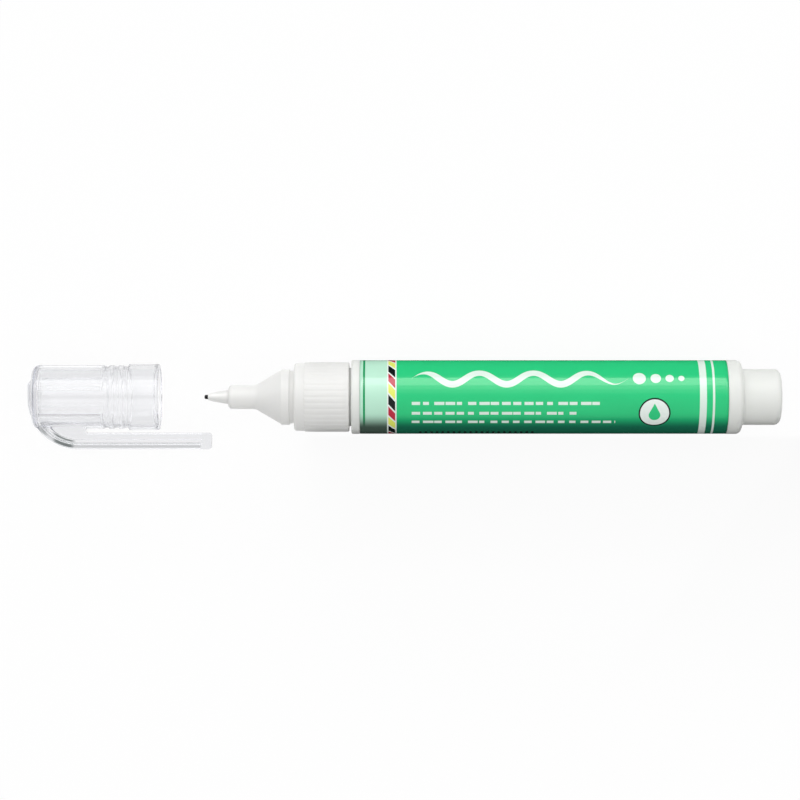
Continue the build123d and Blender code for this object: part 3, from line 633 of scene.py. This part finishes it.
def grid_piece(name, points, places):
    """Mesh of a grid of points, rows by columns, with a quad between each four neighbours and a UV map."""
    rows, columns = points.shape[:2]
    index = np.arange(rows * columns).reshape(rows, columns)
    corners = (index[:-1, :-1], index[1:, :-1], index[1:, 1:], index[:-1, 1:])
    quads = np.stack(corners, axis=-1).reshape(-1, 4)
    mesh = bpy.data.meshes.new(name)
    mesh.vertices.add(rows * columns)
    mesh.vertices.foreach_set("co", points.astype(np.float32).ravel())
    mesh.loops.add(quads.size)
    mesh.loops.foreach_set("vertex_index", quads.astype(np.int32).ravel())
    mesh.polygons.add(len(quads))
    mesh.polygons.foreach_set("loop_start", np.arange(0, quads.size, 4, dtype=np.int32))
    mesh.polygons.foreach_set("use_smooth", np.ones(len(quads), bool))
    layer = mesh.uv_layers.new(name="print")
    layer.data.foreach_set("uv", places.reshape(-1, 2)[quads.ravel()].astype(np.float32).ravel())
    mesh.update(calc_edges=True)
    mesh.validate()
    return add_piece(name, mesh)


def sleeve_surface(low, high, radius, gap, rows, columns):
    """Open cylinder about X: the angle from the top line runs from one side of the seam underneath to the
    other, and each point is (x, radius sin angle, radius cos angle). Its print place is its share of the
    length and of the girth."""
    along = np.linspace(low, high, rows)
    reach = math.pi - gap / 2 / radius
    angle = np.linspace(-reach, reach, columns)
    x, turn = np.meshgrid(along, angle, indexing="ij")
    points = np.stack((x, radius * np.sin(turn), radius * np.cos(turn)), axis=-1)
    places = np.stack(((x - low) / (high - low), turn / FULL_TURN + 0.5), axis=-1)
    return points, places


def tube_piece(name, rings):
    """Closed mesh of a tube's rings, rows along it by columns round it, with a flat face over each end."""
    rows, columns = rings.shape[:2]
    index = np.arange(rows * columns).reshape(rows, columns)
    onward = np.roll(index, -1, axis=1)
    sides = np.stack((index[:-1], onward[:-1], onward[1:], index[1:]), axis=-1).reshape(-1, 4)
    ends = [index[0, ::-1].tolist(), index[-1].tolist()]
    mesh = bpy.data.meshes.new(name)
    mesh.from_pydata(rings.reshape(-1, 3).tolist(), [], sides.tolist() + ends)
    mesh.polygons.foreach_set("use_smooth", np.arange(len(sides) + len(ends)) < len(sides))
    return add_piece(name, mesh)


def coil_rings(low, high, outer, wire, turns, rows, columns):
    """Rings of a wire wound about X: at each share of the turns the centre line is at (x, mean cos turn,
    mean sin turn), and the ring goes round it from the outward direction to the one square to that and to
    the wire."""
    mean = outer - wire
    turn = np.linspace(0.0, FULL_TURN * turns, rows)
    along = np.linspace(low + wire, high - wire, rows)
    centre = np.stack((along, mean * np.cos(turn), mean * np.sin(turn)), axis=-1)
    outward = np.stack((np.zeros(rows), np.cos(turn), np.sin(turn)), axis=-1)
    climb = (high - low - 2 * wire) / (FULL_TURN * turns)
    heading = np.stack((np.full(rows, climb), -mean * np.sin(turn), mean * np.cos(turn)), axis=-1)
    square = np.cross(heading / np.linalg.norm(heading, axis=1, keepdims=True), outward)
    angle = np.linspace(0.0, FULL_TURN, columns, endpoint=False)[:, None]
    return centre[:, None] + wire * (np.cos(angle) * outward[:, None] + np.sin(angle) * square[:, None])


def dress(node, material):
    """Gives a node of the frame its finish."""
    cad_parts[node].material_slots[0].material = material


class PEN_OT_stage(bpy.types.Operator):
    """Lay the floor, lean the cards, hang the lights and set the camera over the pen"""

    bl_idname = "pen.stage"
    bl_label = "Stage"

    def execute(self, context):
        scene = context.scene
        stage = scene.pen_stage
        scene.view_settings.view_transform = "Standard"
        scene.cycles.max_bounces = LIGHT_BOUNCES
        scene.cycles.glossy_bounces = LIGHT_BOUNCES
        scene.cycles.transmission_bounces = LIGHT_BOUNCES
        self.add_camera(scene, stage)
        self.add_floor(scene, stage)
        self.add_flags(scene, stage)
        self.add_lights(scene, stage)
        self.add_sky(scene, stage)
        return {"FINISHED"}

    def add_camera(self, scene, stage):
        """Hangs the camera over the pen, looking straight down, with the view width across its picture."""
        lens = bpy.data.cameras.new("camera")
        lens.sensor_width = SENSOR_WIDTH
        lens.lens = lens.sensor_width * stage.view_distance / stage.view_width
        lens.clip_end = VIEW_END
        camera = bpy.data.objects.new("camera", lens)
        camera.location = (stage.view_centre_x, stage.view_centre_y, stage.view_distance)
        scene.collection.objects.link(camera)
        scene.camera = camera

    def add_card(self, scene, name, corners, material):
        """Adds a flat sheet of the stage between four corners."""
        mesh = bpy.data.meshes.new(name)
        mesh.from_pydata(corners, [], [(0, 1, 2, 3)])
        mesh.materials.append(material)
        card = bpy.data.objects.new(name, mesh)
        scene.collection.objects.link(card)
        return card

    def add_floor(self, scene, stage):
        """Lays a matt floor that is mostly plain white where it is looked at, and keeps a soft shadow."""
        reach, tone = stage.floor_reach, stage.floor_tone
        finish = Finish(bpy.data.materials.new("pale_floor"))
        glow = finish.seen("Camera", "Glossy", "Transmission") * stage.floor_glow
        matt = finish.node("ShaderNodeBsdfDiffuse", inputs={"Color": (tone, tone, tone, 1.0)})
        white = finish.node("ShaderNodeEmission", inputs={"Color": WHITE, "Strength": 1.0})
        pale = finish.done(finish.node("ShaderNodeMixShader", inputs={0: glow, 1: matt, 2: white}))
        pale.cycles.emission_sampling = "NONE"
        corners = [(-reach, -reach), (reach, -reach), (reach, reach), (-reach, reach)]
        self.add_card(scene, "floor", [(x, y, FLOOR_HEIGHT) for x, y in corners], pale)

    def add_flags(self, scene, stage):
        """Leans a black card along each side of the pen, out of the camera's sight, to draw the edges of
        its gloss. The near one also keeps the floor's light off the barrel's lower side."""
        finish = Finish(bpy.data.materials.new("black_card"))
        black = finish.done(finish.node("ShaderNodeBsdfDiffuse", inputs={"Color": CARD_BLACK}))
        near, far = stage.flag_near, stage.flag_far
        low, high = stage.flag_start, CAD_BOX[1].x + CARD_OVERRUN
        foot = FLOOR_HEIGHT + CARD_LIFT
        head = foot + stage.flag_rise
        corners = [(low, far, head), (high, far, head), (high, near, foot), (low, near, foot)]
        for name, side in (("near_flag", -1), ("far_flag", 1)):
            flag = self.add_card(scene, name, [(x, side * y, z) for x, y, z in corners], black)
            flag.visible_camera = flag.visible_transmission = flag.visible_shadow = False
            flag.visible_diffuse = side < 0

    def add_softbox(self, scene, name, low, high, radiance):
        """Hangs a long softbox along the pen between two angles in degrees from overhead towards +Y."""
        angle = math.radians((low + high) / 2)
        depth = 2 * SOFTBOX_DISTANCE * math.tan(math.radians((high - low) / 2))
        light = bpy.data.lights.new(name, "AREA")
        light.shape = "RECTANGLE"
        light.size, light.size_y = SOFTBOX_LENGTH, depth
        light.energy = radiance * math.pi * SOFTBOX_LENGTH * depth
        box = bpy.data.objects.new(name, light)
        middle = (CAD_BOX[0].x + CAD_BOX[1].x) / 2
        box.location = (middle, SOFTBOX_DISTANCE * math.sin(angle), SOFTBOX_DISTANCE * math.cos(angle))
        box.rotation_euler = (-angle, 0.0, 0.0)
        box.visible_camera = False
        scene.collection.objects.link(box)
        return box

    def add_lights(self, scene, stage):
        """Hangs the softboxes that shade the pen without gleaming, and those that only gleam."""
        for name, low, high in SHADING_BOXES:
            box = self.add_softbox(scene, name, low, high, getattr(stage, f"{name}_radiance"))
            box.visible_glossy = False
        for name, low, high, share in GLEAM_BOXES:
            box = self.add_softbox(scene, name, low, high, share * stage.gleam_radiance)
            box.visible_diffuse = box.visible_transmission = False

    def add_sky(self, scene, stage):
        """Sets a pale sky that is dimmer in reflections and faint as a light."""
        finish = Finish(bpy.data.worlds.new("sky"), "ShaderNodeOutputWorld")
        mirrored = finish.seen("Glossy") * stage.sky_mirrored
        level = finish.seen("Camera", "Transmission").most(mirrored).most(stage.sky_strength)
        scene.world = finish.done(finish.node("ShaderNodeBackground", inputs={"Strength": level}))
        scene.world.cycles.sampling_method = "NONE"


class PEN_OT_barrel(bpy.types.Operator):
    """Give the squeeze barrel its soft white plastic"""

    bl_idname = "pen.barrel"
    bl_label = "Barrel"

    def execute(self, context):
        colour = plain(context.scene.pen_colours.barrel_white)
        dress("barrel", moulded_plastic("barrel_satin", colour, roughness=0.42, translucency=0.25))
        return {"FINISHED"}


class PEN_OT_label(bpy.types.Operator):
    """Wrap the printed film round the barrel"""

    bl_idname = "pen.label"
    bl_label = "Label"

    def execute(self, context):
        points, places = sleeve_surface(
            LABEL_LOW.x, LABEL_HIGH.x, LABEL_RADIUS, LABEL_SEAM, LABEL_ROWS, LABEL_COLUMNS
        )
        label = grid_piece("printed_label", points, places)
        wall = label.modifiers.new("film", "SOLIDIFY")
        wall.thickness = LABEL_THICKNESS
        wall.offset = -1.0  # inwards
        label.data.materials.append(printed_film("printed_film", context.scene.pen_colours))
        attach(label, "barrel")
        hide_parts("label_sleeve")
        return {"FINISHED"}


class PEN_OT_front(bpy.types.Operator):
    """Give the collar, seat, cone and tube their white plastic"""

    bl_idname = "pen.front"
    bl_label = "Front section"

    def execute(self, context):
        colour = plain(context.scene.pen_colours.front_white)
        dress("front_section", moulded_plastic("front_satin", colour, roughness=0.40, translucency=0.2))
        return {"FINISHED"}


class PEN_OT_point(bpy.types.Operator):
    """Give the point and the needle their metal"""

    bl_idname = "pen.point"
    bl_label = "Point and needle"

    def execute(self, context):
        colours = context.scene.pen_colours
        dress("point_tip", turned_metal("satin_point", plain(colours.tip), roughness=0.6, metallic=0.1))
        steel = turned_metal("dark_steel", plain(colours.needle), roughness=0.35, metallic=0.9)
        dress("valve_needle", steel)
        return {"FINISHED"}


class PEN_OT_valve(bpy.types.Operator):
    """Finish the pieces inside: plunger, retainer, gasket and ball"""

    bl_idname = "pen.valve"
    bl_label = "Valve and ball"

    def execute(self, context):
        colours = context.scene.pen_colours
        inner_colour, ball_colour = plain(colours.inner_white), plain(colours.ball)
        inner = moulded_plastic("inner_natural", inner_colour, roughness=0.45, translucency=0.2)
        dress("needle_plunger", inner)
        dress("spring_retainer", inner)
        dress("mixing_ball", turned_metal("polished_ball", ball_colour, roughness=0.15, metallic=1.0))
        dress("neck_gasket", black_rubber("gasket_rubber", plain(colours.rubber)))
        return {"FINISHED"}


class PEN_OT_spring(bpy.types.Operator):
    """Wind the valve's spring, which shortens as the needle is pressed in"""

    bl_idname = "pen.spring"
    bl_label = "Spring"

    def execute(self, context):
        low, high = SPRING_LOW.x, SPRING_HIGH.x
        rings = coil_rings(
            low, high, SPRING_HIGH.y, SPRING_WIRE, SPRING_TURNS, SPRING_ROWS, SPRING_COLUMNS
        )
        spring = tube_piece("wound_spring", rings)
        colour = plain(context.scene.pen_colours.spring)
        spring.data.materials.append(turned_metal("spring_wire", colour, roughness=0.3, metallic=1.0))
        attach(spring, "barrel")
        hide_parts("valve_spring")
        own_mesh(spring)
        return {"FINISHED"}


class PEN_OT_cap(bpy.types.Operator):
    """Give the cap its clear plastic, with painted refraction lines along its clip"""

    bl_idname = "pen.cap"
    bl_label = "Cap"

    def execute(self, context):
        colours = context.scene.pen_colours
        dress("cap", clear_plastic("clear_cap", plain(colours.clear), plain(colours.clip_painted_refraction)))
        return {"FINISHED"}


STEPS = (
    PEN_OT_stage,
    PEN_OT_barrel,
    PEN_OT_label,
    PEN_OT_front,
    PEN_OT_point,
    PEN_OT_valve,
    PEN_OT_spring,
    PEN_OT_cap,
)


class PEN_PT_sidebar(bpy.types.Panel):
    """Lists the pen's steps and settings"""

    bl_idname = "PEN_PT_sidebar"
    bl_label = "Correction pen"
    bl_space_type = "VIEW_3D"
    bl_region_type = "UI"
    bl_category = "Pen"

    def draw(self, context):
        for step in STEPS:
            self.layout.operator(step.bl_idname)
        for group in (context.scene.pen_colours, context.scene.pen_stage):
            box = self.layout.box()
            for name in group.bl_rna.properties.keys():
                if name not in ("rna_type", "name"):
                    box.prop(group, name)


CLASSES = (PenColours, PenStage, *STEPS, PEN_PT_sidebar)


def register():
    for cls in CLASSES:
        bpy.utils.register_class(cls)
    bpy.types.Scene.pen_colours = PointerProperty(type=PenColours)
    bpy.types.Scene.pen_stage = PointerProperty(type=PenStage)


def unregister():
    del bpy.types.Scene.pen_stage
    del bpy.types.Scene.pen_colours
    for cls in reversed(CLASSES):
        bpy.utils.unregister_class(cls)


def main():
    """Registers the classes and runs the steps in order."""
    register()
    bpy.ops.pen.stage()
    bpy.ops.pen.barrel()
    bpy.ops.pen.label()
    bpy.ops.pen.front()
    bpy.ops.pen.point()
    bpy.ops.pen.valve()
    bpy.ops.pen.spring()
    bpy.ops.pen.cap()


if __name__ == "__main__":
    main()
